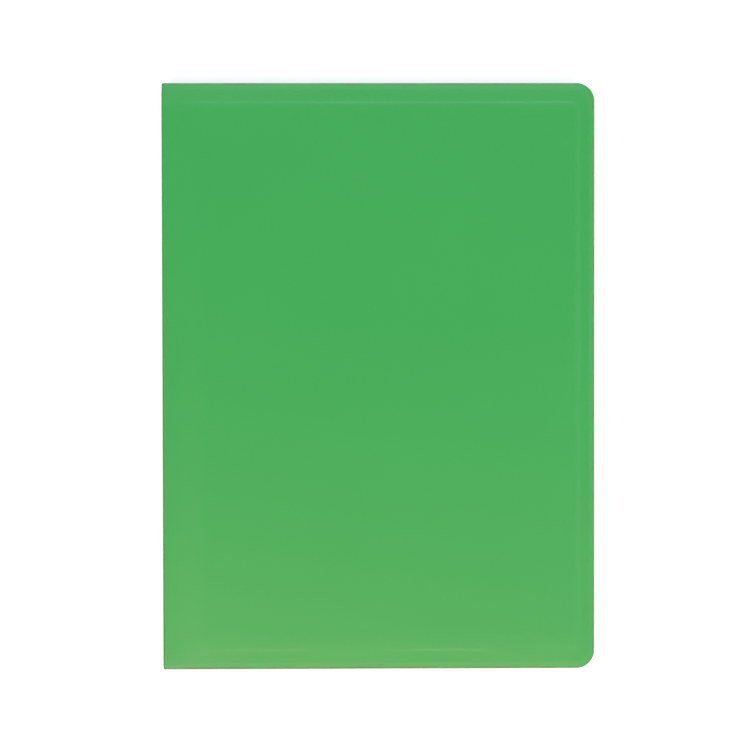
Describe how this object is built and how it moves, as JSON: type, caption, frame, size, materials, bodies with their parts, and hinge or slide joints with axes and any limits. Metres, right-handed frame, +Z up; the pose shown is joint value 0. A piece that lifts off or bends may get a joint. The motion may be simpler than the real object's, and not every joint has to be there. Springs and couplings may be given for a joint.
{
  "type": "stamp album",
  "caption": "Soft-cover stamp album: a welded green plastic cover with rounded fore-edge corners round a block of black card leaves with clear strips, which fan open from the spine.",
  "frame": {"origin": "under the middle of the closed album, on the surface that the back cover lies on", "axes": "+X from the spine to the fore-edge, +Y from the tail to the head, +Z up out of the front cover"},
  "size_m": [0.225, 0.305, 0.0117],
  "materials": {
    "cover_film": "satin, fine grain",
    "lining_film": "matt, fine grain",
    "grey_board": "raw board",
    "flyleaf_paper": "uncoated",
    "black_card": "dull black",
    "hinge_linen": "black linen",
    "clear_strip": "clear film",
    "glassine": "translucent glassine",
    "mull_gauze": "open gauze",
    "binding_glue": "dried glue"
  },
  "bodies": {
    "back_cover": {"back_cover_skin": "cover_film", "back_cover_board": "grey_board", "back_cover_lining": "lining_film"},
    "spine": {"spine_skin": "cover_film", "spine_card": "grey_board", "spine_lining": "lining_film", "spine_mull": "mull_gauze", "binding_glue": "binding_glue"},
    "front_gutter": {"front_gutter_skin": "cover_film", "front_gutter_lining": "lining_film", "front_flyleaf": "flyleaf_paper"},
    "front_cover": {"front_cover_skin": "cover_film", "front_cover_board": "grey_board", "front_cover_lining": "lining_film"},
    "back_flyleaf": {"back_flyleaf": "flyleaf_paper"},
    "leaf_1": {"leaf_1_card": "black_card", "leaf_1_hinge": "hinge_linen", "leaf_1_front_strips": "clear_strip", "leaf_1_back_strips": "clear_strip"},
    "leaf_2": {"leaf_2_card": "black_card", "leaf_2_hinge": "hinge_linen", "leaf_2_front_strips": "clear_strip", "leaf_2_back_strips": "clear_strip"},
    "interleaf_2": {"interleaf_2": "glassine"},
    "leaf_3": {"leaf_3_card": "black_card", "leaf_3_hinge": "hinge_linen", "leaf_3_front_strips": "clear_strip", "leaf_3_back_strips": "clear_strip"},
    "interleaf_3": {"interleaf_3": "glassine"},
    "leaf_4": {"leaf_4_card": "black_card", "leaf_4_hinge": "hinge_linen", "leaf_4_front_strips": "clear_strip", "leaf_4_back_strips": "clear_strip"},
    "interleaf_4": {"interleaf_4": "glassine"},
    "leaf_5": {"leaf_5_card": "black_card", "leaf_5_hinge": "hinge_linen", "leaf_5_front_strips": "clear_strip", "leaf_5_back_strips": "clear_strip"},
    "interleaf_5": {"interleaf_5": "glassine"},
    "leaf_6": {"leaf_6_card": "black_card", "leaf_6_hinge": "hinge_linen", "leaf_6_front_strips": "clear_strip", "leaf_6_back_strips": "clear_strip"},
    "interleaf_6": {"interleaf_6": "glassine"},
    "leaf_7": {"leaf_7_card": "black_card", "leaf_7_hinge": "hinge_linen", "leaf_7_front_strips": "clear_strip", "leaf_7_back_strips": "clear_strip"},
    "interleaf_7": {"interleaf_7": "glassine"},
    "leaf_8": {"leaf_8_card": "black_card", "leaf_8_hinge": "hinge_linen", "leaf_8_front_strips": "clear_strip", "leaf_8_back_strips": "clear_strip"},
    "interleaf_8": {"interleaf_8": "glassine"}
  },
  "joints": [
    {"name": "album_open", "type": "hinge", "parent": "back_cover", "child": "spine", "pos_m": [-0.11213, 0, 0.00097], "axis": [0, -1, 0], "range_deg": [0, 90]},
    {"name": "front_cover_open", "type": "hinge", "parent": "spine", "child": "front_gutter", "pos_m": [-0.11213, 0, 0.01077], "axis": [0, -1, 0], "range_deg": [0, 75]},
    {"name": "front_cover_fold", "type": "hinge", "parent": "front_gutter", "child": "front_cover", "pos_m": [-0.10812, 0, 0.01124], "axis": [0, -1, 0], "range_deg": [0, 15]},
    {"name": "back_flyleaf_turn", "type": "hinge", "parent": "back_cover", "child": "back_flyleaf", "pos_m": [-0.11052, 0, 0.00153], "axis": [0, -1, 0], "range_deg": [0, 15]},
    {"name": "leaf_1_turn", "type": "hinge", "parent": "spine", "child": "leaf_1", "pos_m": [-0.10999, 0, 0.00954], "axis": [0, -1, 0], "range_deg": [0, 56]},
    {"name": "leaf_2_turn", "type": "hinge", "parent": "spine", "child": "leaf_2", "pos_m": [-0.10999, 0, 0.0085], "axis": [0, -1, 0], "range_deg": [0, 42]},
    {"name": "interleaf_2_turn", "type": "hinge", "parent": "leaf_2", "child": "interleaf_2", "pos_m": [-0.10899, 0, 0.00864], "axis": [0, -1, 0], "range_deg": [0, 6]},
    {"name": "leaf_3_turn", "type": "hinge", "parent": "spine", "child": "leaf_3", "pos_m": [-0.10999, 0, 0.00745], "axis": [0, -1, 0], "range_deg": [0, 28]},
    {"name": "interleaf_3_turn", "type": "hinge", "parent": "leaf_3", "child": "interleaf_3", "pos_m": [-0.10899, 0, 0.00758], "axis": [0, -1, 0], "range_deg": [0, 6]},
    {"name": "leaf_4_turn", "type": "hinge", "parent": "spine", "child": "leaf_4", "pos_m": [-0.10999, 0, 0.00639], "axis": [0, -1, 0], "range_deg": [0, 14]},
    {"name": "interleaf_4_turn", "type": "hinge", "parent": "leaf_4", "child": "interleaf_4", "pos_m": [-0.10899, 0, 0.00654], "axis": [0, -1, 0], "range_deg": [0, 6]},
    {"name": "leaf_5_turn", "type": "hinge", "parent": "spine", "child": "leaf_5", "pos_m": [-0.10999, 0, 0.00534], "axis": [0, -1, 0], "range_deg": [-14, 0]},
    {"name": "interleaf_5_turn", "type": "hinge", "parent": "leaf_5", "child": "interleaf_5", "pos_m": [-0.10899, 0, 0.00549], "axis": [0, -1, 0], "range_deg": [0, 6]},
    {"name": "leaf_6_turn", "type": "hinge", "parent": "spine", "child": "leaf_6", "pos_m": [-0.10999, 0, 0.0043], "axis": [0, -1, 0], "range_deg": [-28, 0]},
    {"name": "interleaf_6_turn", "type": "hinge", "parent": "leaf_6", "child": "interleaf_6", "pos_m": [-0.10899, 0, 0.00443], "axis": [0, -1, 0], "range_deg": [0, 6]},
    {"name": "leaf_7_turn", "type": "hinge", "parent": "spine", "child": "leaf_7", "pos_m": [-0.10999, 0, 0.00325], "axis": [0, -1, 0], "range_deg": [-42, 0]},
    {"name": "interleaf_7_turn", "type": "hinge", "parent": "leaf_7", "child": "interleaf_7", "pos_m": [-0.10899, 0, 0.00338], "axis": [0, -1, 0], "range_deg": [0, 6]},
    {"name": "leaf_8_turn", "type": "hinge", "parent": "spine", "child": "leaf_8", "pos_m": [-0.10999, 0, 0.00219], "axis": [0, -1, 0], "range_deg": [-56, 0]},
    {"name": "interleaf_8_turn", "type": "hinge", "parent": "leaf_8", "child": "interleaf_8", "pos_m": [-0.10899, 0, 0.00233], "axis": [0, -1, 0], "range_deg": [0, 6]}
  ],
  "couplings": [
    {"joint": "front_cover_fold", "follows": "front_cover_open", "ratio": 0.2},
    {"joint": "back_flyleaf_turn", "follows": "album_open", "ratio": 0.16667},
    {"joint": "leaf_1_turn", "follows": "front_cover_open", "ratio": 0.74667},
    {"joint": "leaf_2_turn", "follows": "front_cover_open", "ratio": 0.56},
    {"joint": "interleaf_2_turn", "follows": "front_cover_open", "ratio": 0.08},
    {"joint": "leaf_3_turn", "follows": "front_cover_open", "ratio": 0.37333},
    {"joint": "interleaf_3_turn", "follows": "front_cover_open", "ratio": 0.08},
    {"joint": "leaf_4_turn", "follows": "front_cover_open", "ratio": 0.18667},
    {"joint": "interleaf_4_turn", "follows": "front_cover_open", "ratio": 0.08},
    {"joint": "leaf_5_turn", "follows": "album_open", "ratio": -0.15556},
    {"joint": "interleaf_5_turn", "follows": "album_open", "ratio": 0.066667},
    {"joint": "leaf_6_turn", "follows": "album_open", "ratio": -0.31111},
    {"joint": "interleaf_6_turn", "follows": "album_open", "ratio": 0.066667},
    {"joint": "leaf_7_turn", "follows": "album_open", "ratio": -0.46667},
    {"joint": "interleaf_7_turn", "follows": "album_open", "ratio": 0.066667},
    {"joint": "leaf_8_turn", "follows": "album_open", "ratio": -0.62222},
    {"joint": "interleaf_8_turn", "follows": "album_open", "ratio": 0.066667}
  ]
}
